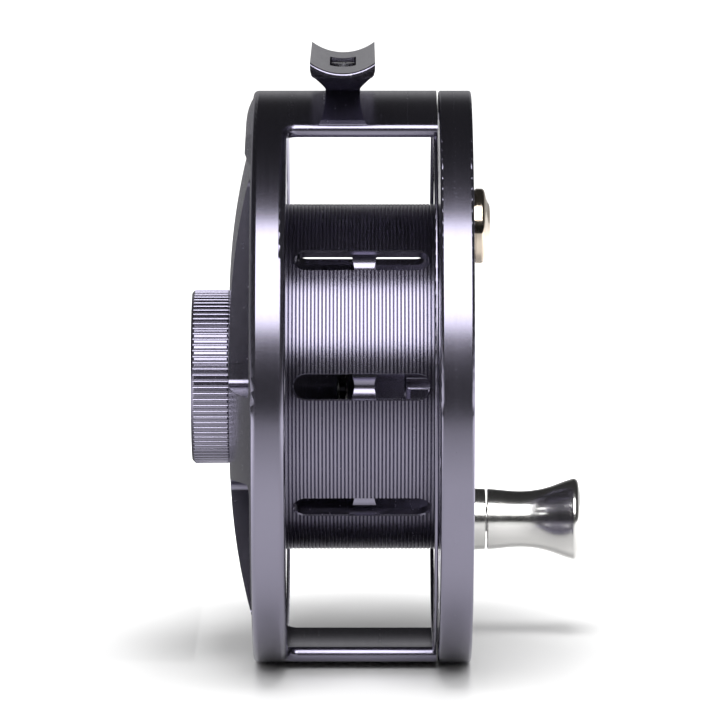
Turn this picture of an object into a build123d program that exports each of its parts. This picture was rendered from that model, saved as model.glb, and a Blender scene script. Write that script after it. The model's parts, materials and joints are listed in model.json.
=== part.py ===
"""A large-arbor fly reel with a sealed multi-disc drag, as separate pieces in one frame.

Row frame: origin at the lowest point of the reel foot's saddle, at mid length. +X runs along the
spool's axis towards the handle, +Y along the rod, +Z up, away from the reel. Lengths are in mm.
The pieces are drawn with X = 0 at the middle of the frame, and finish() shifts them by the
distance that the foot stands from there.
"""

import math
import os

from build123d import *

os.makedirs("parts", exist_ok=True)

# Driving dimensions.
AXIS_DROP = 62.9  # spool axis below the saddle
FOOT_X = -3.4  # the foot's middle, from the middle of the frame
RIM_R = 57.15  # outer radius of the frame's rings and of the palming rim
PILLAR_T = 3.0
PILLAR_INNER_R = RIM_R - PILLAR_T
EDGE_R = 1.4  # rounding along the pillars and the back ring
EDGE_CUT = 1.1  # rounding of the back ring's outer corner, bevel of its inner one
BACK_LEFT = -21.2  # outer face of the back ring
BACK_RIGHT = -14.35
HUB_FACE = -26.0  # flat on the back plate under the drag knob
PLATE_INSIDE = -19.6  # inner face of the back plate
FRONT_RING_LEFT, FRONT_RING_RIGHT, TIE_HEIGHT = 14.4, 15.2, 2.5
TOP_PILLAR_HALF = 24.5  # degrees each side of straight up
BOTTOM_PILLAR_HALF = 14.5
ARBOR_R, ARBOR_BORE_R = 34.5, 32.6
FLANGE_LEFT, FLANGE_RIGHT = -15.0, 15.6  # inner faces of the spool's flanges
RIM_RIGHT = 22.1  # outer face of the palming rim
HANDLE_RADIUS, HANDLE_ANGLE = 45.0, 47.2  # place of the counterweight; the handle is opposite
SPINDLE_R = 3.0
CAN_R, CAN_BORE_R, CAN_FLOOR, CAN_MOUTH = 20.0, 17.5, -22.0, -4.5
PIN_CIRCLE = 9.5  # the drag's push pins
PIN_ANGLES = (90, 210, 330)
KEY_START = 30  # first of the three keys of the drag's steel discs
BALL_CIRCLE, BALL_ANGLE = 15.2, 30  # the knob's click ball
PAWL_R = 18.75  # the click pawl's pin
SLIP = 0.02  # radial gap between pieces that are fixed together
SCREW_R, SCREW_HEAD_R = 1.5, 2.3
SCREW_PLACES = ((FOOT_X, -8.0), (FOOT_X, 8.0))  # the two screws that hold the foot

side = Plane(origin=(0, 0, -AXIS_DROP), x_dir=(0, 1, 0), z_dir=(1, 0, 0))
profile = Plane(origin=(0, 0, -AXIS_DROP), x_dir=(1, 0, 0), z_dir=(0, -1, 0))
spool_axis = Axis((0, 0, -AXIS_DROP), (1, 0, 0))


def at(radius, degrees):
    """A point on the side plane; the angle runs from the reel's front edge upwards."""
    turn = math.radians(degrees)
    return (-radius * math.cos(turn), radius * math.sin(turn))


def radial(degrees):
    """A plane through the spool's axis; its x is X and its y points outwards at that angle."""
    turn = math.radians(degrees)
    return Plane(origin=(0, 0, -AXIS_DROP), x_dir=(1, 0, 0), z_dir=(0, -math.sin(turn), -math.cos(turn)))


def ring(start, end, outer, inner=0.0, mode=Mode.ADD):
    """A plain disc or ring about the spool's axis, from start to end along X."""
    with BuildSketch(side.offset(start)) as face:
        Circle(outer)
        if inner > 0:
            Circle(inner, mode=Mode.SUBTRACT)
    extrude(face.sketch, amount=end - start, mode=mode)


def rod(start, end, radius, centre, mode=Mode.ADD):
    """A round bar parallel to the spool's axis through a point of the side plane."""
    with BuildSketch(side.offset(start)) as face:
        with Locations(centre):
            Circle(radius)
    extrude(face.sketch, amount=end - start, mode=mode)


def turned(points, mode=Mode.ADD):
    """A solid of revolution about the spool's axis from a closed outline of (x, radius)."""
    with BuildSketch(profile) as face:
        with BuildLine() as edge:
            Polyline(*points, close=True)
        make_face(edge.edges())
    revolve(face.sketch, axis=spool_axis, mode=mode)


def finish(part, name):
    """Move a piece into the row frame, name it and write it."""
    placed = part.moved(Location((-FOOT_X, 0, 0)))
    placed.label = name
    export_step(placed, f"parts/{name}.step")


# --- frame: back ring, ported back plate, drag can, pillars, front ring and foot boss ---
DOME_START_R = 16.0
DOME_END_R = 49.3
WINDOW_CORNER_R = 2.0
PAD_HALF = 26.0  # degrees each side of straight up
PAD_SLOPE = 3.5  # the pad's ends rise by one in this much
WINDOWS = 4
WINDOW_FIRST = 1.5  # degrees, the straight side of the front upper window in the back plate
WINDOW_PITCH = 81.3  # the plate is whole under the foot
WINDOW_SPAN, WINDOW_SWEEP, WINDOW_ROOT = 60.5, 45.8, 12.0  # the curved side: rim, middle, hub
WINDOW_IN_R, WINDOW_MID_R, WINDOW_OUT_R = 21.5, 31.3, 48.2
BOSS_TOP = -4.5  # where the foot sits, in row Z
BOSS_TOP_HALF_Y = 14.0

# --- boss under the foot: waisted across the axis, sloping down to the top pillar's ends ---
with BuildPart() as foot_boss:
    with BuildSketch(Plane.XZ.offset(-24.0)):
        with BuildLine():
            Line((FOOT_X - 3.4, BOSS_TOP), (FOOT_X + 3.4, BOSS_TOP))
            ThreePointArc((FOOT_X + 3.4, BOSS_TOP), (FOOT_X + 3.7, -8.0), (FOOT_X + 5.0, -11.2))
            Line((FOOT_X + 5.0, -11.2), (FOOT_X - 5.0, -11.2))
            ThreePointArc((FOOT_X - 5.0, -11.2), (FOOT_X - 3.7, -8.0), (FOOT_X - 3.4, BOSS_TOP))
        make_face()
    extrude(amount=48.0)
    with BuildSketch(Plane.YZ.offset(FOOT_X - 8.0)):
        with BuildLine():
            Polyline(
                (-22.4, -12.0),
                (-22.9, -10.5),
                (-22.3, -9.8),
                (-BOSS_TOP_HALF_Y, BOSS_TOP),
                (BOSS_TOP_HALF_Y, BOSS_TOP),
                (22.3, -9.8),
                (22.9, -10.5),
                (22.4, -12.0),
            )
            ThreePointArc((22.4, -12.0), (0, 55.6 - AXIS_DROP), (-22.4, -12.0))
        make_face()
    extrude(amount=16.0, mode=Mode.INTERSECT)

# --- crescent pad at the top of the back plate, its ends sloping down into the ring ---
with BuildPart() as pad:
    with BuildSketch(radial(90 + PAD_HALF)):
        with BuildLine():
            Line((-20.4, 47.9), (-22.2, 47.9))
            Line((-22.2, 47.9), (-22.75, 48.6))
            Line((-22.75, 48.6), (-22.6, 51.0))
            ThreePointArc((-22.6, 51.0), (-22.0, 54.2), (-20.75, 56.4))
            Line((-20.75, 56.4), (-20.4, 47.9))
        make_face()
    revolve(axis=spool_axis, revolution_arc=2 * PAD_HALF)
    for angle, sense in ((90 - PAD_HALF, -1), (90 + PAD_HALF, 1)):
        turn = math.radians(angle)
        end = at(52.0, angle)
        slope = (-PAD_SLOPE, sense * math.sin(turn), sense * math.cos(turn))
        split(
            bisect_by=Plane(origin=(BACK_LEFT + 0.2, end[0], end[1] - AXIS_DROP), z_dir=slope),
            keep=Keep.BOTTOM,
        )


def line_space(first, last):
    """Space between two pillars, open at the handle side, with round corners at the back ring."""
    inner, outer, middle = PILLAR_INNER_R - 4, RIM_R + 3, (first + last) / 2
    with BuildPart() as space:
        with BuildSketch(side.offset(BACK_RIGHT)):
            with BuildLine():
                Line(at(inner, first), at(outer, first))
                ThreePointArc(at(outer, first), at(outer, middle), at(outer, last))
                Line(at(outer, last), at(inner, last))
                ThreePointArc(at(inner, last), at(inner, middle), at(inner, first))
            make_face()
        extrude(amount=FRONT_RING_RIGHT - BACK_RIGHT + 5)
        corners = space.edges().filter_by(GeomType.LINE).filter_by(Axis.X, reverse=True)
        fillet(corners.group_by(Axis.X)[0], radius=WINDOW_CORNER_R)
    return space.part


def on_window_edge(edge, radius):
    """True for an edge of the line spaces that lies on the drum's surface of that radius."""
    middle = edge.center() + Vector(0, 0, AXIS_DROP)
    inside = BACK_RIGHT - 0.01 < middle.X < FRONT_RING_RIGHT - 0.01
    reach = [math.hypot(v.Y, v.Z + AXIS_DROP) for v in edge.vertices()]
    return inside and all(abs(r - radius) < 0.01 for r in reach)


front_space = line_space(BOTTOM_PILLAR_HALF - 90, 90 - TOP_PILLAR_HALF)
rear_space = line_space(90 + TOP_PILLAR_HALF, 270 - BOTTOM_PILLAR_HALF)

with BuildPart() as frame:
    # Domed back plate, back ring and the drum that the pillars are cut from.
    with BuildSketch(profile) as body_outline:
        with BuildLine():
            Line((HUB_FACE, 0), (HUB_FACE, DOME_START_R))
            TangentArc((HUB_FACE, DOME_START_R), (BACK_LEFT, DOME_END_R), tangent=(0, 1))
            Polyline(
                (BACK_LEFT, DOME_END_R),
                (BACK_LEFT, RIM_R),
                (FRONT_RING_RIGHT, RIM_R),
                (FRONT_RING_RIGHT, PILLAR_INNER_R),
                (PLATE_INSIDE + EDGE_CUT, PILLAR_INNER_R),
                (PLATE_INSIDE, PILLAR_INNER_R - EDGE_CUT),
                (PLATE_INSIDE, 0),
                (HUB_FACE, 0),
            )
        make_face()
        outer_corner = [v for v in body_outline.vertices() if v.Y > RIM_R - 0.01 and v.X < 0]
        fillet(outer_corner, radius=EDGE_CUT)
    revolve(axis=spool_axis)
    add(front_space, mode=Mode.SUBTRACT)
    add(rear_space, mode=Mode.SUBTRACT)
    fillet([e for e in frame.edges() if on_window_edge(e, RIM_R)], radius=EDGE_R)
    fillet([e for e in frame.edges() if on_window_edge(e, PILLAR_INNER_R)], radius=EDGE_R)
    # Back-plate windows: one straight radial side, one side that runs tangent to the hub.
    with BuildSketch(side.offset(HUB_FACE - 2)) as back_windows:
        for index in range(WINDOWS):
            first = WINDOW_FIRST - index * WINDOW_PITCH
            with BuildLine():
                Line(at(WINDOW_IN_R, first), at(WINDOW_OUT_R, first))
                ThreePointArc(
                    at(WINDOW_OUT_R, first),
                    at(WINDOW_OUT_R, first + WINDOW_SPAN / 2),
                    at(WINDOW_OUT_R, first + WINDOW_SPAN),
                )
                ThreePointArc(
                    at(WINDOW_OUT_R, first + WINDOW_SPAN),
                    at(WINDOW_MID_R, first + WINDOW_SWEEP),
                    at(WINDOW_IN_R, first + WINDOW_ROOT),
                )
                Line(at(WINDOW_IN_R, first + WINDOW_ROOT), at(WINDOW_IN_R, first))
            make_face()
        fillet(back_windows.vertices(), radius=1.6)
    extrude(amount=PLATE_INSIDE - HUB_FACE + 2.6, mode=Mode.SUBTRACT)
    # Drag can with three keyways for the steel discs.
    ring(PLATE_INSIDE - 1, CAN_MOUTH, CAN_R)
    ring(CAN_FLOOR, CAN_MOUTH, CAN_BORE_R, mode=Mode.SUBTRACT)
    with BuildSketch(side.offset(CAN_FLOOR + 4.5)):
        with PolarLocations(CAN_BORE_R, 3, start_angle=KEY_START):
            Rectangle(2.2, 3.1)
    extrude(amount=CAN_MOUTH - CAN_FLOOR - 7.6, mode=Mode.SUBTRACT)
    # Thin ring that ties the pillars at the handle side.
    with BuildSketch(profile):
        with Locations(((FRONT_RING_LEFT + FRONT_RING_RIGHT) / 2, PILLAR_INNER_R - 0.1)):
            RectangleRounded(FRONT_RING_RIGHT - FRONT_RING_LEFT - 0.02, TIE_HEIGHT, 0.3)
    revolve(axis=spool_axis)
    # Bore for the spindle, holes for the push pins, pocket for the knob's click ball.
    ring(HUB_FACE - 1, CAN_FLOOR + 1, 4.98 + SLIP, mode=Mode.SUBTRACT)
    for angle in PIN_ANGLES:
        rod(HUB_FACE - 1, CAN_FLOOR + 1, 1.65, at(PIN_CIRCLE, angle), mode=Mode.SUBTRACT)
    rod(HUB_FACE - 1, -23.2, 1.0, at(BALL_CIRCLE, BALL_ANGLE), mode=Mode.SUBTRACT)
    # Pin hole for the click pawl in the can's rim.
    rod(CAN_MOUTH - 4, CAN_MOUTH + 1, 0.8 + SLIP, at(PAWL_R, 90), mode=Mode.SUBTRACT)
    add(foot_boss.part)
    add(pad.part)
    # Threaded holes for the foot screws.
    with BuildSketch(Plane.XY.offset(BOSS_TOP + 1)):
        with Locations(*SCREW_PLACES):
            Circle(SCREW_R + SLIP)
    extrude(amount=-6.5, mode=Mode.SUBTRACT)
finish(frame.part, "frame")

# --- reel foot: a saddle that a rod's reel seat clamps, on a hull with ramped ends ---
FOOT_HALF, HULL_HALF = 31.0, 28.5
FOOT_HALF_W = 6.35
FOOT_EDGE = 0.95  # thickness of the foot's ends
EDGE_Z = 2.14  # the saddle's long edges, above its lowest line

foot_end = Plane(origin=(FOOT_X, FOOT_HALF, 0), x_dir=(1, 0, 0), z_dir=(0, -1, 0))

# Hull: flares from the boss to the saddle's full width, ramps up towards both ends.
with BuildPart() as foot_hull:
    with BuildSketch(foot_end):
        with BuildLine():
            Line((-3.35, BOSS_TOP), (3.35, BOSS_TOP))
            ThreePointArc((3.35, BOSS_TOP), (3.5, -4.0), (3.8, -3.55))
            Line((3.8, -3.55), (6.1, -0.6))
            Line((6.1, -0.6), (FOOT_HALF_W, 0.4))
            Line((FOOT_HALF_W, 0.4), (FOOT_HALF_W, EDGE_Z))
            ThreePointArc((FOOT_HALF_W, EDGE_Z), (0, 0), (-FOOT_HALF_W, EDGE_Z))
            Line((-FOOT_HALF_W, EDGE_Z), (-FOOT_HALF_W, 0.4))
            Line((-FOOT_HALF_W, 0.4), (-6.1, -0.6))
            Line((-6.1, -0.6), (-3.8, -3.55))
            ThreePointArc((-3.8, -3.55), (-3.5, -4.0), (-3.35, BOSS_TOP))
        make_face()
    extrude(amount=2 * FOOT_HALF)
    with BuildSketch(Plane.YZ.offset(FOOT_X - 8.0)):
        with BuildLine():
            Line((-HULL_HALF, 3.0), (-HULL_HALF, -FOOT_EDGE))
            ThreePointArc((-HULL_HALF, -FOOT_EDGE), (-20.5, -2.3), (-BOSS_TOP_HALF_Y, BOSS_TOP))
            Line((-BOSS_TOP_HALF_Y, BOSS_TOP), (BOSS_TOP_HALF_Y, BOSS_TOP))
            ThreePointArc((BOSS_TOP_HALF_Y, BOSS_TOP), (20.5, -2.3), (HULL_HALF, -FOOT_EDGE))
            Line((HULL_HALF, -FOOT_EDGE), (HULL_HALF, 3.0))
            Line((HULL_HALF, 3.0), (-HULL_HALF, 3.0))
        make_face()
    extrude(amount=16.0, mode=Mode.INTERSECT)

with BuildPart() as reel_foot:
    # Curved plate over the whole length, with its ends' upper edges rounded.
    with BuildSketch(foot_end):
        with BuildLine():
            ThreePointArc((-FOOT_HALF_W, EDGE_Z), (0, 0), (FOOT_HALF_W, EDGE_Z))
            Line((FOOT_HALF_W, EDGE_Z), (FOOT_HALF_W, 1.0))
            ThreePointArc((FOOT_HALF_W, 1.0), (0, -FOOT_EDGE), (-FOOT_HALF_W, 1.0))
            Line((-FOOT_HALF_W, 1.0), (-FOOT_HALF_W, EDGE_Z))
        make_face()
    extrude(amount=2 * FOOT_HALF)
    ends = reel_foot.edges().filter_by(GeomType.CIRCLE).group_by(Axis.Y)
    fillet([edge.sort_by(Axis.Z)[-1] for edge in (ends[0], ends[-1])], radius=0.5)
    add(foot_hull.part)
    # Pocket for the screw heads, and the screws' clearance holes.
    with BuildSketch(Plane.XY.offset(3.0)):
        with Locations((FOOT_X, 0)):
            RectangleRounded(5.2, 25.0, 0.6)
    extrude(amount=-5.2, mode=Mode.SUBTRACT)
    with BuildSketch(Plane.XY):
        with Locations(*SCREW_PLACES):
            Circle(SCREW_R + 0.1)
    extrude(amount=-6.0, mode=Mode.SUBTRACT)
finish(reel_foot.part, "reel_foot")

with BuildPart() as foot_screws:
    with BuildSketch(Plane.XY.offset(-8.4)):
        with Locations(*SCREW_PLACES):
            Circle(SCREW_R)
    extrude(amount=6.2)
    with BuildSketch(Plane.XY.offset(-2.2)):
        with Locations(*SCREW_PLACES):
            Circle(SCREW_HEAD_R)
    extrude(amount=1.6)
    with BuildSketch(Plane.XY.offset(-0.6)):
        with Locations(*SCREW_PLACES):
            RegularPolygon(1.25, 6)
    extrude(amount=-0.9, mode=Mode.SUBTRACT)
finish(foot_screws.part, "foot_screws")

# --- spindle: rear journal for the knob, press diameter, flange, long running shaft ---
SPINDLE_END = 12.3
with BuildPart() as spindle:
    turned(
        [
            (-32.0, 0.0),
            (-32.0, 4.95),
            (-26.1, 4.95),
            (-26.1, 4.98),
            (CAN_FLOOR, 4.98),
            (CAN_FLOOR + 0.01, 7.5),
            (-20.6, 7.5),
            (-20.4, SPINDLE_R),
            (SPINDLE_END - 0.6, SPINDLE_R),
            (SPINDLE_END, SPINDLE_R - 0.6),
            (SPINDLE_END, 0.0),
        ]
    )
    ring(-32.5, -27.0, 2.0 + SLIP, mode=Mode.SUBTRACT)
finish(spindle.part, "spindle")

with BuildPart() as knob_screw:
    turned(
        [
            (-28.0, 0.0),
            (-28.0, 2.0),
            (-32.02, 2.0),
            (-32.02, 5.6),
            (-32.9, 5.6),
            (-33.3, 5.2),
            (-33.3, 0.0),
        ]
    )
    with BuildSketch(side.offset(-33.4)):
        RegularPolygon(2.0, 6)
    extrude(amount=1.1, mode=Mode.SUBTRACT)
finish(knob_screw.part, "knob_screw")

# --- drag knob: fluted cup that turns on the spindle's rear journal ---
KNOB_R = 17.4
KNOB_FLUTES = 90
with BuildPart() as drag_knob:
    with BuildSketch(side.offset(-33.5)):
        Circle(KNOB_R)
        with PolarLocations(KNOB_R + 0.12, KNOB_FLUTES):
            Circle(0.42, mode=Mode.SUBTRACT)
    extrude(amount=7.4)
    with BuildSketch(profile):
        with BuildLine():
            Polyline(
                (-33.5, 5.9),
                (-33.5, KNOB_R - 0.7),
                (-32.8, KNOB_R),
                (-26.35, KNOB_R),
                (-26.1, KNOB_R - 0.25),
                (-26.1, 14.5),
                (-31.5, 14.5),
                (-31.5, 5.9),
                (-26.35, 5.9),
                (-26.35, 5.0),
                (-31.9, 5.0),
                (-31.9, 5.9),
                close=True,
            )
        make_face()
    revolve(axis=spool_axis, mode=Mode.INTERSECT)
    # Shallow finger dish in the outer face.
    with BuildSketch(profile):
        with BuildLine():
            Line((-33.6, 7.5), (-33.6, 15.0))
            Line((-33.6, 15.0), (-33.5, 15.0))
            ThreePointArc((-33.5, 15.0), (-32.9, 11.25), (-33.5, 7.5))
            Line((-33.5, 7.5), (-33.6, 7.5))
        make_face()
    revolve(axis=spool_axis, mode=Mode.SUBTRACT)
finish(drag_knob.part, "drag_knob")

with BuildPart() as drag_cam:
    ring(-31.48, -29.4, 12.5, 5.94)
    for angle in (0, 120, 240):
        rod(-30.4, -29.3, 1.5, at(9.3, angle), mode=Mode.SUBTRACT)
finish(drag_cam.part, "drag_cam")

# Sprung ball that makes the knob click as it turns, and its spring.
ball_at = at(BALL_CIRCLE, BALL_ANGLE)
ball_centre = (-25.15, ball_at[0], ball_at[1] - AXIS_DROP)
with BuildPart() as knob_click_ball:
    with BuildSketch(Plane(origin=ball_centre)):
        with BuildLine():
            Line((-0.95, 0), (0.95, 0))
            ThreePointArc((0.95, 0), (0, 0.95), (-0.95, 0))
        make_face()
    revolve(axis=Axis(ball_centre, (1, 0, 0)))
finish(knob_click_ball.part, "knob_click_ball")

with BuildPart() as knob_click_spring:
    for turn in range(3):
        start = -24.1 + turn * 0.3
        with BuildSketch(side.offset(start)):
            with Locations(ball_at):
                Circle(0.9)
                Circle(0.6, mode=Mode.SUBTRACT)
        extrude(amount=0.2)
finish(knob_click_spring.part, "knob_click_spring")

# --- drag: push plate, thrust ring, springs, pressure plate, discs, rotor, clutch, cover ---
STACK_START = -14.7
DISC_T, DISC_GAP = 0.9, 0.1
with BuildPart() as push_plate:
    ring(-29.2, -27.9, 12.5, 6.3)
    for angle in PIN_ANGLES:
        rod(-28.0, -20.35, 1.6, at(PIN_CIRCLE, angle))
finish(push_plate.part, "push_plate")

with BuildPart() as thrust_ring:
    ring(-20.3, -19.4, 16.8, 7.9)
finish(thrust_ring.part, "thrust_ring")

with BuildPart() as drag_springs:
    turned([(-19.3, 8.4), (-18.6, 8.4), (-17.3, 16.2), (-18.0, 16.2)])
    turned([(-17.15, 16.2), (-16.5, 16.2), (-16.5, 15.4), (-17.7, 8.4), (-18.35, 8.4)])
finish(drag_springs.part, "drag_springs")

with BuildPart() as pressure_plate:
    with BuildSketch(side.offset(-16.4)):
        Circle(CAN_BORE_R - 0.05)
        with PolarLocations(CAN_BORE_R - 0.2, 3, start_angle=KEY_START):
            Rectangle(2.2, 2.9)
        Circle(11.2, mode=Mode.SUBTRACT)
    extrude(amount=1.5)
finish(pressure_plate.part, "pressure_plate")

with BuildPart() as steel_discs:
    for index in range(3):
        with BuildSketch(side.offset(STACK_START + (2 * index + 1) * (DISC_T + DISC_GAP))):
            Circle(CAN_BORE_R - 0.05)
            with PolarLocations(CAN_BORE_R - 0.2, 3, start_angle=KEY_START):
                Rectangle(2.2, 2.9)
            Circle(11.4, mode=Mode.SUBTRACT)
        extrude(amount=DISC_T)
finish(steel_discs.part, "steel_discs")

with BuildPart() as carbon_discs:
    for index in range(4):
        with BuildSketch(side.offset(STACK_START + 2 * index * (DISC_T + DISC_GAP))):
            Circle(16.9)
            Circle(10.05, mode=Mode.SUBTRACT)
            with PolarLocations(10.2, 4):
                Rectangle(1.7, 2.2, mode=Mode.SUBTRACT)
        extrude(amount=DISC_T)
finish(carbon_discs.part, "carbon_discs")

with BuildPart() as clutch_sleeve:
    with BuildSketch(side.offset(STACK_START)):
        Circle(10.0)
        with PolarLocations(10.0, 4):
            Rectangle(1.6, 2.0)
        Circle(8.0 + SLIP, mode=Mode.SUBTRACT)
    extrude(amount=6.9)
finish(clutch_sleeve.part, "clutch_sleeve")

with BuildPart() as one_way_clutch:
    ring(-14.2, -8.2, 8.0, 6.6)
    ring(-14.2, -13.5, 8.0, 5.2)
    ring(-8.9, -8.2, 8.0, 5.2)
finish(one_way_clutch.part, "one_way_clutch")

with BuildPart() as clutch_rollers:
    for index in range(12):
        rod(-13.4, -9.0, 0.75, at(5.72, index * 30))
finish(clutch_rollers.part, "clutch_rollers")

with BuildPart() as drag_cover:
    ring(-7.3, CAN_MOUTH, CAN_BORE_R - SLIP, 5.4)
    ring(-6.6, -5.2, 6.7, mode=Mode.SUBTRACT)
    for angle in (45, 165, 285):
        rod(-5.6, CAN_MOUTH + 0.1, 0.9, at(14.9, angle), mode=Mode.SUBTRACT)
finish(drag_cover.part, "drag_cover")

with BuildPart() as cover_seal:
    with BuildSketch(profile):
        with Locations((-5.9, 5.78)):
            RectangleRounded(1.3, 1.5, 0.6)
    revolve(axis=spool_axis)
finish(cover_seal.part, "cover_seal")

# --- drive hub: sleeve on the spindle, flange, three pins that turn the spool ---
DRIVE_PIN_R, DRIVE_CIRCLE = 1.2, 8.3
with BuildPart() as drive_hub:
    ring(-19.0, -4.2, 4.95, SPINDLE_R + 0.04)
    ring(-4.2, -2.8, 10.5, SPINDLE_R + 0.04)
finish(drive_hub.part, "drive_hub")

with BuildPart() as drive_pins:
    for angle in PIN_ANGLES:
        rod(-2.8, 0.4, DRIVE_PIN_R, at(DRIVE_CIRCLE, angle))
finish(drive_pins.part, "drive_pins")

CLICK_TEETH = 36
CLICK_TIP_R, CLICK_ROOT_R = 14.2, 13.0
teeth = []
for index in range(CLICK_TEETH):
    valley = 90 + index * 360 / CLICK_TEETH
    teeth.append(at(CLICK_ROOT_R, valley))
    teeth.append(at(CLICK_TIP_R, valley + 180 / CLICK_TEETH))
with BuildPart() as click_wheel:
    with BuildSketch(side.offset(-4.1)):
        with BuildLine():
            Polyline(*teeth, close=True)
        make_face()
        Circle(10.5 + SLIP, mode=Mode.SUBTRACT)
    extrude(amount=1.2)
finish(click_wheel.part, "click_wheel")

with BuildPart() as pawl_pin:
    rod(CAN_MOUTH - 3.5, -2.95, 0.8, at(PAWL_R, 90))
finish(pawl_pin.part, "pawl_pin")

with BuildPart() as click_pawl:
    with BuildSketch(side.offset(-4.15)):
        with Locations(at(PAWL_R, 90)):
            Circle(1.5)
        with BuildLine():
            Polyline((-1.3, 18.2), (-0.25, 13.95), (0.25, 13.95), (1.3, 18.2), close=True)
        make_face()
        with Locations(at(PAWL_R, 90)):
            Circle(0.85, mode=Mode.SUBTRACT)
    extrude(amount=1.1)
finish(click_pawl.part, "click_pawl")

# Leaf spring that centres the pawl, bent beside it on the can's rim.
with BuildPart() as click_spring:
    with BuildSketch(side.offset(-4.4)):
        with BuildLine():
            Polyline(
                (4.2, 18.4), (4.2, 17.0), (1.75, 16.2), (1.6, 16.5), (3.9, 17.25), (3.9, 18.4), close=True
            )
        make_face()
    extrude(amount=1.2)
finish(click_spring.part, "click_spring")

# --- spool: grooved and slotted arbor, two flanges, palming rim, web and bearing hub ---
SPOOL_HUB_R = 11.5
HUB_LEFT, HUB_RIGHT = -2.5, 8.8
WEB_LEFT, WEB_RIGHT = -0.7, 2.4
BEARING_R, BEARING_W = 6.0, 3.5
GROOVES = 40
GROOVE_PITCH, GROOVE_W, GROOVE_DEPTH = 0.735, 0.36, 0.17
SLOT_LENGTH, SLOT_W, SLOT_BEVEL = 26.6, 4.9, 0.45
SLOTS = 8
SLOT_FIRST = 3.2  # degrees
SCOOP_R = 2.6

# Line-bed grooves, from the handle side's flange to the other.
line_bed = []
for index in range(GROOVES):
    middle = FLANGE_RIGHT - 0.95 - index * GROOVE_PITCH
    line_bed.append((middle + GROOVE_W / 2, ARBOR_R))
    line_bed.append((middle, ARBOR_R - GROOVE_DEPTH))
    line_bed.append((middle - GROOVE_W / 2, ARBOR_R))

with BuildPart() as spool:
    with BuildSketch(profile) as spool_outline:
        with BuildLine():
            Polyline(
                (FLANGE_LEFT - 2.0, ARBOR_BORE_R),
                (FLANGE_LEFT - 2.0, 51.9),
                (FLANGE_LEFT - 1.6, 52.3),
                (FLANGE_LEFT - 0.4, 52.3),
                (FLANGE_LEFT, 51.9),
                (FLANGE_LEFT, ARBOR_R),
                *reversed(line_bed),
                (FLANGE_RIGHT, ARBOR_R),
                (FLANGE_RIGHT, RIM_R),
                (RIM_RIGHT, RIM_R),
                (RIM_RIGHT, 53.6),
                (RIM_RIGHT - 0.4, 53.2),
                (FLANGE_RIGHT + 2.4, 52.6),
                (FLANGE_RIGHT + 2.2, 37.6),
                (RIM_RIGHT - 2.4, 35.0),
                (RIM_RIGHT - 2.4, 32.6),
                (RIM_RIGHT - 3.2, ARBOR_BORE_R),
                (WEB_RIGHT + 0.9, ARBOR_BORE_R),
                (WEB_RIGHT, ARBOR_BORE_R - 1.8),
                (WEB_RIGHT, SPOOL_HUB_R),
                (HUB_RIGHT, SPOOL_HUB_R - 0.6),
                (HUB_RIGHT, 7.8),
                (12.2, 7.8),
                (12.2, 6.9),
                (HUB_RIGHT, 6.9),
                (HUB_RIGHT, BEARING_R),
                (HUB_RIGHT - BEARING_W, BEARING_R),
                (HUB_RIGHT - BEARING_W, 5.2),
                (HUB_LEFT + BEARING_W, 5.2),
                (HUB_LEFT + BEARING_W, BEARING_R),
                (HUB_LEFT, BEARING_R),
                (HUB_LEFT, SPOOL_HUB_R),
                (WEB_LEFT, SPOOL_HUB_R),
                (WEB_LEFT, ARBOR_BORE_R - 1.8),
                (WEB_LEFT - 0.9, ARBOR_BORE_R),
                close=True,
            )
        make_face()
        fillet([v for v in spool_outline.vertices() if v.Y > RIM_R - 0.01], radius=0.55)
    revolve(axis=spool_axis)
    # Pads for the counterweight and the handle.
    for angle in (HANDLE_ANGLE, HANDLE_ANGLE + 180):
        rod(FLANGE_RIGHT + 1.0, RIM_RIGHT, 8.4, at(HANDLE_RADIUS, angle))
    # Slots through the arbor, each with a hollow scooped out of the web's edge under it.
    for index in range(SLOTS):
        angle = SLOT_FIRST + index * 360 / SLOTS
        slot_plane = Plane(origin=(0.35, 0, -AXIS_DROP), x_dir=(1, 0, 0), z_dir=(0, *at(1, angle)))
        with BuildSketch(slot_plane.offset(ARBOR_BORE_R - 0.3)):
            SlotOverall(SLOT_LENGTH, SLOT_W)
        extrude(amount=5.0, mode=Mode.SUBTRACT)
        rod(WEB_LEFT - 1.5, WEB_RIGHT + 1.5, SCOOP_R, at(ARBOR_R - 0.3, angle), mode=Mode.SUBTRACT)
        with BuildSketch(slot_plane.offset(ARBOR_R + 0.1)):
            SlotOverall(SLOT_LENGTH + 2 * SLOT_BEVEL, SLOT_W + 2 * SLOT_BEVEL)
        extrude(amount=-2 * SLOT_BEVEL, taper=45, mode=Mode.SUBTRACT)
    # Drain holes in the web and ports in the handle-side flange.
    for index in range(8):
        rod(WEB_LEFT - 1, WEB_RIGHT + 1, 3.9, at(21.5, 22.5 + index * 45), mode=Mode.SUBTRACT)
    for step in (30, 60, 90, 120, 150, 210, 240, 270, 300, 330):
        port = at(HANDLE_RADIUS, HANDLE_ANGLE + step)
        rod(FLANGE_RIGHT - 1, FLANGE_RIGHT + 4, 4.6, port, mode=Mode.SUBTRACT)
    for angle in (HANDLE_ANGLE, HANDLE_ANGLE + 180):
        rod(FLANGE_RIGHT - 1, RIM_RIGHT + 1, 2.5 + SLIP, at(HANDLE_RADIUS, angle), mode=Mode.SUBTRACT)
    for angle in PIN_ANGLES:
        rod(HUB_LEFT - 1, 1.0, DRIVE_PIN_R + 0.08, at(DRIVE_CIRCLE, angle), mode=Mode.SUBTRACT)
finish(spool.part, "spool")

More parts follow.
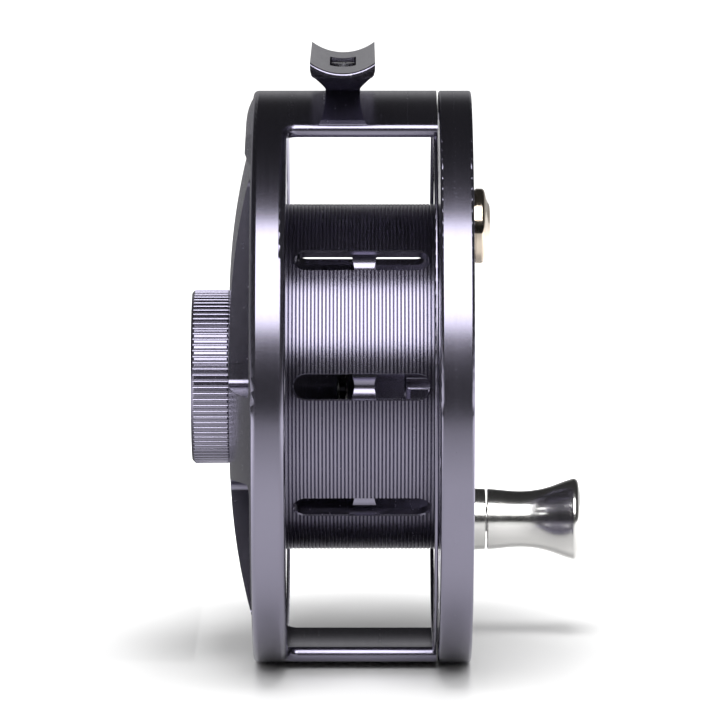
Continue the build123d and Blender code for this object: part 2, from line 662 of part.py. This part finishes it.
with BuildPart() as spool_bearings:
    for start in (HUB_LEFT + 0.02, HUB_RIGHT - BEARING_W + 0.02):
        with BuildSketch(profile):
            with BuildLine():
                Polyline(
                    (start, SPINDLE_R + 0.03),
                    (start, 3.9),
                    (start + 0.25, 4.0),
                    (start + 0.25, 5.1),
                    (start, 5.2),
                    (start, BEARING_R - SLIP),
                    (start + BEARING_W - 0.04, BEARING_R - SLIP),
                    (start + BEARING_W - 0.04, 5.2),
                    (start + BEARING_W - 0.29, 5.1),
                    (start + BEARING_W - 0.29, 4.0),
                    (start + BEARING_W - 0.04, 3.9),
                    (start + BEARING_W - 0.04, SPINDLE_R + 0.03),
                    close=True,
                )
            make_face()
        revolve(axis=spool_axis)
finish(spool_bearings.part, "spool_bearings")

# --- spool cap: turns on the hub's nose to free the spool ---
with BuildPart() as spool_cap:
    turned(
        [
            (9.2, 7.95),
            (9.2, 10.6),
            (10.0, 11.2),
            (13.6, 11.2),
            (14.6, 10.4),
            (14.9, 8.5),
            (14.9, 0.0),
            (12.8, 0.0),
            (12.8, 7.95),
        ]
    )
    with BuildSketch(side.offset(9.0)):
        with PolarLocations(12.3, 12):
            Circle(1.9)
    extrude(amount=7.0, mode=Mode.SUBTRACT)
finish(spool_cap.part, "spool_cap")

# --- counterweight, opposite the handle ---
weight_at = at(HANDLE_RADIUS, HANDLE_ANGLE)
weight_centre = (0, weight_at[0], weight_at[1] - AXIS_DROP)
weight_axis = Axis(weight_centre, (1, 0, 0))
weight_profile = Plane(origin=weight_centre, x_dir=(1, 0, 0), z_dir=(0, -1, 0))
with BuildPart() as counterweight:
    with BuildSketch(weight_profile):
        with BuildLine():
            Polyline(
                (RIM_RIGHT - 0.5, 0),
                (RIM_RIGHT - 0.5, 1.2 + SLIP),
                (FLANGE_RIGHT + 2.0, 1.2 + SLIP),
                (FLANGE_RIGHT + 2.0, 2.5),
                (RIM_RIGHT + 0.01, 2.5),
                (RIM_RIGHT + 0.01, 7.2),
                (RIM_RIGHT + 0.35, 7.2),
                (RIM_RIGHT + 0.45, 7.4),
                (RIM_RIGHT + 1.5, 7.4),
            )
            Spline(
                (RIM_RIGHT + 1.5, 7.4),
                (RIM_RIGHT + 2.3, 6.5),
                (RIM_RIGHT + 2.8, 4.9),
                (RIM_RIGHT + 3.3, 0),
                tangents=((1, -0.1), (0, -1)),
            )
            Line((RIM_RIGHT + 3.3, 0), (RIM_RIGHT - 0.5, 0))
        make_face()
    revolve(axis=weight_axis)
finish(counterweight.part, "counterweight")

with BuildPart() as counterweight_screw:
    rod(FLANGE_RIGHT + 0.3, FLANGE_RIGHT + 1.98, 2.4, weight_at)
    rod(FLANGE_RIGHT + 1.5, RIM_RIGHT - 0.8, 1.2, weight_at)
finish(counterweight_screw.part, "counterweight_screw")

# --- handle: post, base collar, grip on two bushings, end screw ---
grip_at = at(HANDLE_RADIUS, HANDLE_ANGLE + 180)
grip_centre = (0, grip_at[0], grip_at[1] - AXIS_DROP)
grip_axis = Axis(grip_centre, (1, 0, 0))
grip_profile = Plane(origin=grip_centre, x_dir=(1, 0, 0), z_dir=(0, -1, 0))
COLLAR_RIGHT = 25.7
GRIP_LEFT, GRIP_RIGHT = 26.0, 45.4
with BuildPart() as handle_post:
    rod(FLANGE_RIGHT + 0.5, 42.6, 2.5, grip_at)
    rod(36.0, 43.0, 1.2 + SLIP, grip_at, mode=Mode.SUBTRACT)
finish(handle_post.part, "handle_post")

with BuildPart() as handle_collar:
    with BuildSketch(grip_profile):
        with BuildLine():
            Polyline(
                (RIM_RIGHT + 0.01, 2.52),
                (RIM_RIGHT + 0.01, 6.4),
                (RIM_RIGHT + 0.5, 6.6),
                (RIM_RIGHT + 1.2, 6.35),
                (COLLAR_RIGHT - 0.2, 6.25),
                (COLLAR_RIGHT, 6.05),
                (COLLAR_RIGHT, 2.52),
                close=True,
            )
        make_face()
    revolve(axis=grip_axis)
finish(handle_collar.part, "handle_collar")

with BuildPart() as handle_grip:
    with BuildSketch(grip_profile):
        with BuildLine():
            Line((GRIP_LEFT, 4.02), (GRIP_LEFT, 6.05))
            Line((GRIP_LEFT, 6.05), (GRIP_LEFT + 0.2, 6.25))
            Spline(
                (GRIP_LEFT + 0.2, 6.25),
                (32.4, 5.77),
                (38.4, 6.55),
                (43.3, 8.25),
                tangents=((1, -0.05), (1, 0.28)),
            )
            ThreePointArc((43.3, 8.25), (44.35, 8.15), (44.75, 7.3))
            ThreePointArc((44.75, 7.3), (45.1, 6.35), (45.3, 5.2))
            Line((45.3, 5.2), (43.4, 5.1))
            Line((43.4, 5.1), (43.4, 4.02))
            Line((43.4, 4.02), (GRIP_LEFT, 4.02))
        make_face()
    revolve(axis=grip_axis)
finish(handle_grip.part, "handle_grip")

with BuildPart() as handle_bushings:
    for start in (GRIP_LEFT + 0.1, 38.2):
        with BuildSketch(side.offset(start)):
            with Locations(grip_at):
                Circle(4.0)
                Circle(2.55, mode=Mode.SUBTRACT)
        extrude(amount=4.3)
finish(handle_bushings.part, "handle_bushings")

with BuildPart() as handle_screw:
    with BuildSketch(grip_profile):
        with BuildLine():
            Line((37.0, 0), (37.0, 1.2))
            Line((37.0, 1.2), (42.62, 1.2))
            Line((42.62, 1.2), (42.62, 3.6))
            Line((42.62, 3.6), (43.5, 3.6))
            Line((43.5, 3.6), (43.5, 4.7))
            Line((43.5, 4.7), (44.6, 4.7))
            Spline((44.6, 4.7), (GRIP_RIGHT, 0), tangents=((0.35, -1), (0, -1)))
            Line((GRIP_RIGHT, 0), (37.0, 0))
        make_face()
    revolve(axis=grip_axis)
    with BuildSketch(side.offset(GRIP_RIGHT + 0.1)):
        with Locations(grip_at):
            RegularPolygon(1.5, 6)
    extrude(amount=-1.4, mode=Mode.SUBTRACT)
finish(handle_screw.part, "handle_screw")
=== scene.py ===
"""The fly reel's looks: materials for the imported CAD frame's nodes, floor, lights and camera."""

import json
import math

import bpy
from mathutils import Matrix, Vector


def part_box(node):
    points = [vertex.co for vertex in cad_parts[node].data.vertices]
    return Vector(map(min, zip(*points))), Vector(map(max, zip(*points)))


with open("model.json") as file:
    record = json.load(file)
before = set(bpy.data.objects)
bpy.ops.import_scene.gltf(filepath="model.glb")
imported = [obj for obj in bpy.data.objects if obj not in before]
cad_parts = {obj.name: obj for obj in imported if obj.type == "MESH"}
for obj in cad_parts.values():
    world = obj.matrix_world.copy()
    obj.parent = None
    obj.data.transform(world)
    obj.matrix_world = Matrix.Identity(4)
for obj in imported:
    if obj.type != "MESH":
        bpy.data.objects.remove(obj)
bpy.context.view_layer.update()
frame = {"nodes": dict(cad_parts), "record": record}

MM = 0.001
RIM_FACE = 22.1 * MM  # the palming rim's outer face, from the middle of the frame
spool_low, spool_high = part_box("spool")
MIDDLE_X = spool_high[0] - RIM_FACE  # the middle of the frame, in row X
AXIS_Z = (spool_low[2] + spool_high[2]) / 2  # the spool's axis, in row Z
FLOOR_Z = spool_low[2]


# --- node trees ---
class Nodes:
    """Adds nodes to a node tree and links them."""

    def __init__(self, tree):
        self.tree = tree

    def add(self, kind, **values):
        node = self.tree.nodes.new(kind)
        for key, value in values.items():
            if hasattr(node, key):
                setattr(node, key, value)
            else:
                node.inputs[key].default_value = value
        return node

    def link(self, out, socket):
        self.tree.links.new(out, socket)

    def math(self, operation, first, second):
        node = self.add("ShaderNodeMath", operation=operation)
        for socket, value in zip(node.inputs, (first, second)):
            if isinstance(value, (int, float)):
                socket.default_value = value
            else:
                self.link(value, socket)
        return node.outputs["Value"]

    def length(self, first, second):
        squares = self.math("ADD", self.math("POWER", first, 2.0), self.math("POWER", second, 2.0))
        return self.math("POWER", squares, 0.5)

    def split(self, vector):
        node = self.add("ShaderNodeSeparateXYZ")
        self.link(vector, node.inputs["Vector"])
        return node.outputs["X"], node.outputs["Y"], node.outputs["Z"]

    def noise(self, vector, scale, detail):
        node = self.add("ShaderNodeTexNoise", Scale=scale, Detail=detail)
        self.link(vector, node.inputs["Vector"])
        return node.outputs["Fac"]

    def remap(self, value, low, high, start=0.0, end=1.0):
        """Low at the start value, high at the end value."""
        node = self.add("ShaderNodeMapRange")
        node.inputs["From Min"].default_value = start
        node.inputs["From Max"].default_value = end
        node.inputs["To Min"].default_value = low
        node.inputs["To Max"].default_value = high
        self.link(value, node.inputs["Value"])
        return node.outputs["Result"]


class MaterialNodes(Nodes):
    """The node tree of a new material, with its shader."""

    def __init__(self, name):
        self.material = bpy.data.materials.new(name)
        self.material.use_nodes = True
        super().__init__(self.material.node_tree)
        self.shader = self.tree.nodes["Principled BSDF"]

    def place(self):
        return self.add("ShaderNodeTexCoord").outputs["Object"]

    def turned_place(self, axis_y, axis_z):
        """Coordinates that are the same all the way round a lathe axis parallel to X."""
        x, y, z = self.split(self.place())
        joined = self.add("ShaderNodeCombineXYZ")
        self.link(x, joined.inputs["X"])
        radius = self.length(self.math("SUBTRACT", y, axis_y), self.math("SUBTRACT", z, axis_z))
        self.link(radius, joined.inputs["Y"])
        return joined.outputs["Vector"]

    def mix(self, factor, first, second):
        node = self.add("ShaderNodeMix", data_type="RGBA")
        node.inputs[6].default_value = (*first, 1.0)
        node.inputs[7].default_value = (*second, 1.0)
        self.link(factor, node.inputs[0])
        return node.outputs[2]

    def bump(self, height, strength, distance):
        node = self.add("ShaderNodeBump", Strength=strength, Distance=distance)
        self.link(height, node.inputs["Height"])
        self.link(node.outputs["Normal"], self.shader.inputs["Normal"])


# --- materials ---
PATCHES, GRAIN, TURNED_LINES = (45.0, 3.0), (3000.0, 3.0), (900.0, 2.0)  # noise: scale per metre, detail
NOISE_LOW, NOISE_HIGH = 0.3, 0.7  # most of a noise lies between these
GRAIN_STRENGTH, GRAIN_HEIGHT = 0.02, 0.002 * MM


def finish(name, dark, light, rough, spread, axis):
    """Metallic surface with a fine grain and, on a lathe axis, fine lines round that axis.

    The hidden carbon discs and rubber seal share it, dark and rough.
    """
    m = MaterialNodes(name)
    m.shader.inputs["Metallic"].default_value = 1.0
    slow = m.noise(m.place(), *PATCHES)
    fine = m.noise(m.place(), *GRAIN)
    if axis is not None:
        turned = m.noise(m.turned_place(*axis), *TURNED_LINES)
        fine = m.math("MULTIPLY", m.math("ADD", fine, turned), 0.5)
    m.link(m.mix(slow, dark, light), m.shader.inputs["Base Color"])
    level = m.remap(fine, rough - spread, rough + spread, NOISE_LOW, NOISE_HIGH)
    m.link(level, m.shader.inputs["Roughness"])
    m.bump(fine, GRAIN_STRENGTH, GRAIN_HEIGHT)
    return m.material


def grey(level):
    return (level, level, level)


def middle_of(node):
    low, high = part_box(node)
    return (low[1] + high[1]) / 2, (low[2] + high[2]) / 2


spool_at = middle_of("spool")
grip_at = middle_of("handle_grip")
weight_at = middle_of("counterweight")
# Per slot: darker and lighter tone, roughness and its spread, lathe axis.
FINISHES = {
    "gunmetal": ((0.180, 0.170, 0.222), (0.206, 0.196, 0.252), 0.25, 0.03, spool_at),
    "dark_anodise": ((0.030, 0.030, 0.036), (0.045, 0.045, 0.052), 0.35, 0.06, spool_at),
    "polished_aluminium": ((0.64, 0.635, 0.62), (0.70, 0.69, 0.675), 0.20, 0.04, grip_at),
    "nickel": ((0.50, 0.43, 0.35), (0.57, 0.49, 0.41), 0.13, 0.03, weight_at),
    "stainless": ((0.46, 0.46, 0.47), (0.54, 0.54, 0.55), 0.28, 0.06, spool_at),
    "spring_steel": ((0.30, 0.30, 0.32), (0.38, 0.38, 0.40), 0.33, 0.06, None),
    "bronze": ((0.42, 0.27, 0.14), (0.50, 0.34, 0.18), 0.32, 0.06, spool_at),
    "carbon": ((0.030, 0.030, 0.033), (0.045, 0.045, 0.050), 0.50, 0.08, None),
    "seal_rubber": (grey(0.02), grey(0.03), 0.60, 0.08, None),
}
materials = {slot: finish(slot, *values) for slot, values in FINISHES.items()}

slot_of = {entry["node"]: entry["material_slot"] for entry in frame["record"]["subparts"]}
for name, obj in frame["nodes"].items():
    obj.data.materials.clear()
    obj.data.materials.append(materials[slot_of[name]])


# --- studio ---
FLOOR_HALF = 4.0
# Painted shade on the floor: its tone near the reel and in front of it is darker than its far tone.
FLOOR_PAINTED_SHADE_TONE, FLOOR_FRONT_PAINTED_SHADE, FLOOR_FAR_RISE = 0.43, 0.15, 0.50
FLOOR_ROUGHNESS, FLOOR_SHINE = 0.3, 0.3
PAINTED_SHADE_REACH = 0.04, 0.18  # distances from the reel between which the floor's painted shade fades to its far tone
IN_FRONT = -0.22, -0.05  # row Y between which the front's painted shade fades out
FRONT_FLAG_Y, REAR_FLAG_Y = -0.34, 0.5
PAST_FLAG = -0.6, FRONT_FLAG_Y - 0.02  # row Y between which the floor's painted shade fades to its far tone
FRONT_FLAG_HALF, FRONT_FLAG_TOP, REAR_FLAG_TOP = 1.2, AXIS_Z + 0.09, AXIS_Z + 0.12
SIDE_FLAG_Z = FLOOR_Z + 0.5 * MM
ROOM_LIGHT = 1.25  # the white that lights the floor
ROOM_SEEN, BACKDROP_SEEN, SIDES_SEEN = 0.03, 0.4, 0.06  # what the metal reflects
BACKDROP_EDGE, BACKDROP_TOP, SIDES_EDGE = (0.1, 0.5), (0.2, 0.45), (0.7, 0.95)  # of a direction of length 1
KEY_RADIANCE, OVERHEAD_RADIANCE = 6.7, 32.0


def around(elevation, distance):
    """A point in front of the spool's axis, at an elevation in degrees."""
    lift = math.radians(elevation)
    return Vector((0.0, -distance * math.cos(lift), AXIS_Z + distance * math.sin(lift)))


def sheet(name, low, high, material):
    """Rectangle between two corners: flat where both have the same Z, else upright."""
    corners = [low, (high[0], low[1], low[2]), high, (low[0], high[1], high[2])]
    mesh = bpy.data.meshes.new(name)
    mesh.from_pydata(corners, [], [(0, 1, 2, 3)])
    obj = bpy.data.objects.new(name, mesh)
    bpy.context.scene.collection.objects.link(obj)
    obj.data.materials.append(material)
    return obj


def pale_floor_with_painted_shade():
    """White floor with painted shade: deeper in tone under the reel, where the lights are close, which
    deepens the shadow round it, and deeper still in front of it, which darkens the floor seen in the
    metal's reflections.
    """
    m = MaterialNodes("floor_painted_shade")
    m.shader.inputs["Roughness"].default_value = FLOOR_ROUGHNESS
    x, y, _ = m.split(m.place())
    out = m.length(m.math("SUBTRACT", x, MIDDLE_X), m.math("MAXIMUM", y, 0.0))
    past_flag = m.remap(y, 1.0, 0.0, *PAST_FLAG)
    # painted shade: far is 0 near the reel, where the floor keeps its darker tone, and 1 far off
    far = m.math("MAXIMUM", m.remap(out, 0.0, 1.0, *PAINTED_SHADE_REACH), past_flag)
    # painted shade in front of the reel, which darkens the floor seen in the metal's reflections
    front_painted_shade = m.math("MULTIPLY", m.remap(y, 1.0, 0.0, *IN_FRONT), FLOOR_FRONT_PAINTED_SHADE)
    level = m.math(
        "ADD", m.math("SUBTRACT", FLOOR_PAINTED_SHADE_TONE, front_painted_shade), m.math("MULTIPLY", far, FLOOR_FAR_RISE)
    )
    tone = m.add("ShaderNodeCombineColor")
    for channel in ("Red", "Green", "Blue"):
        m.link(level, tone.inputs[channel])
    m.link(tone.outputs["Color"], m.shader.inputs["Base Color"])
    m.link(m.remap(far, FLOOR_SHINE, 0.0), m.shader.inputs["Specular IOR Level"])
    sheet("floor", (-FLOOR_HALF, -FLOOR_HALF, FLOOR_Z), (FLOOR_HALF, FLOOR_HALF, FLOOR_Z), m.material)


def flag(name, tone, low, high):
    """Dark card, seen in the metal's reflections alone."""
    m = MaterialNodes(name)
    m.shader.inputs["Base Color"].default_value = (*grey(tone), 1.0)
    m.shader.inputs["Specular IOR Level"].default_value = 0.0
    card = sheet(name, low, high, m.material)
    card.visible_camera = False
    card.visible_diffuse = False
    card.visible_shadow = False


def area_light(name, centre, size, radiance, in_reflections=True):
    data = bpy.data.lights.new(name, "AREA")
    data.shape = "RECTANGLE"
    data.size, data.size_y = size
    data.energy = radiance * math.pi * size[0] * size[1]
    light = bpy.data.objects.new(name, data)
    light.location = centre
    light.rotation_euler = (Vector((0.0, 0.0, AXIS_Z)) - centre).to_track_quat("-Z", "Y").to_euler()
    light.visible_glossy = in_reflections
    bpy.context.scene.collection.objects.link(light)


def white_room():
    """White all round for the floor; in reflections a dark room with a bright backdrop."""
    world = bpy.data.worlds.new("studio")
    bpy.context.scene.world = world
    world.use_nodes = True
    w = Nodes(world.node_tree)
    x, y, z = w.split(w.add("ShaderNodeTexCoord").outputs["Generated"])
    behind = w.remap(y, 0.0, 1.0, *BACKDROP_EDGE)
    low = w.remap(z, 1.0, 0.0, *BACKDROP_TOP)
    sides = w.remap(w.math("ABSOLUTE", x, 0.0), 0.0, SIDES_SEEN, *SIDES_EDGE)
    backdrop = w.math("MULTIPLY", w.math("MULTIPLY", behind, low), BACKDROP_SEEN)
    seen = w.math("ADD", w.math("ADD", backdrop, sides), ROOM_SEEN)
    glossy = w.add("ShaderNodeLightPath").outputs["Is Glossy Ray"]
    plain = w.math("MULTIPLY", w.math("SUBTRACT", 1.0, glossy), ROOM_LIGHT)
    strength = w.math("ADD", plain, w.math("MULTIPLY", glossy, seen))
    background = world.node_tree.nodes["Background"]
    background.inputs["Color"].default_value = (*grey(1.0), 1.0)
    w.link(strength, background.inputs["Strength"])


pale_floor_with_painted_shade()
flag(
    "front_flag",
    0.004,
    (-FRONT_FLAG_HALF, FRONT_FLAG_Y, FLOOR_Z),
    (FRONT_FLAG_HALF, FRONT_FLAG_Y, FRONT_FLAG_TOP),
)
flag("rear_flag", 0.10, (-0.8, REAR_FLAG_Y, FLOOR_Z), (-0.05, REAR_FLAG_Y, REAR_FLAG_TOP))
flag("side_flag", 0.08, (-0.6, 0.0, SIDE_FLAG_Z), (-0.03, REAR_FLAG_Y, SIDE_FLAG_Z))
white_room()
area_light("key", around(47, 1.1), (1.1, 0.88), KEY_RADIANCE)
area_light("overhead", around(70, 0.8), (0.3, 0.3), OVERHEAD_RADIANCE, in_reflections=False)
bpy.context.scene.view_settings.view_transform = "Standard"


# --- camera ---
ELEVATION = 6.5  # degrees
DISTANCE = 1.35
FIELD_WIDTH = 0.144  # what the picture spans at the aim
SENSOR = 36.0
AIM_ABOVE_AXIS = 3.3 * MM

camera_data = bpy.data.cameras.new("camera")
camera_data.sensor_width = SENSOR
camera_data.lens = SENSOR * DISTANCE / FIELD_WIDTH
camera = bpy.data.objects.new("camera", camera_data)
aim = Vector((MIDDLE_X, 0.0, AXIS_Z + AIM_ABOVE_AXIS))
lift = math.radians(ELEVATION)
camera.location = aim + Vector((0.0, -DISTANCE * math.cos(lift), DISTANCE * math.sin(lift)))
camera.rotation_euler = (aim - camera.location).to_track_quat("-Z", "Y").to_euler()
bpy.context.scene.collection.objects.link(camera)
bpy.context.scene.camera = camera
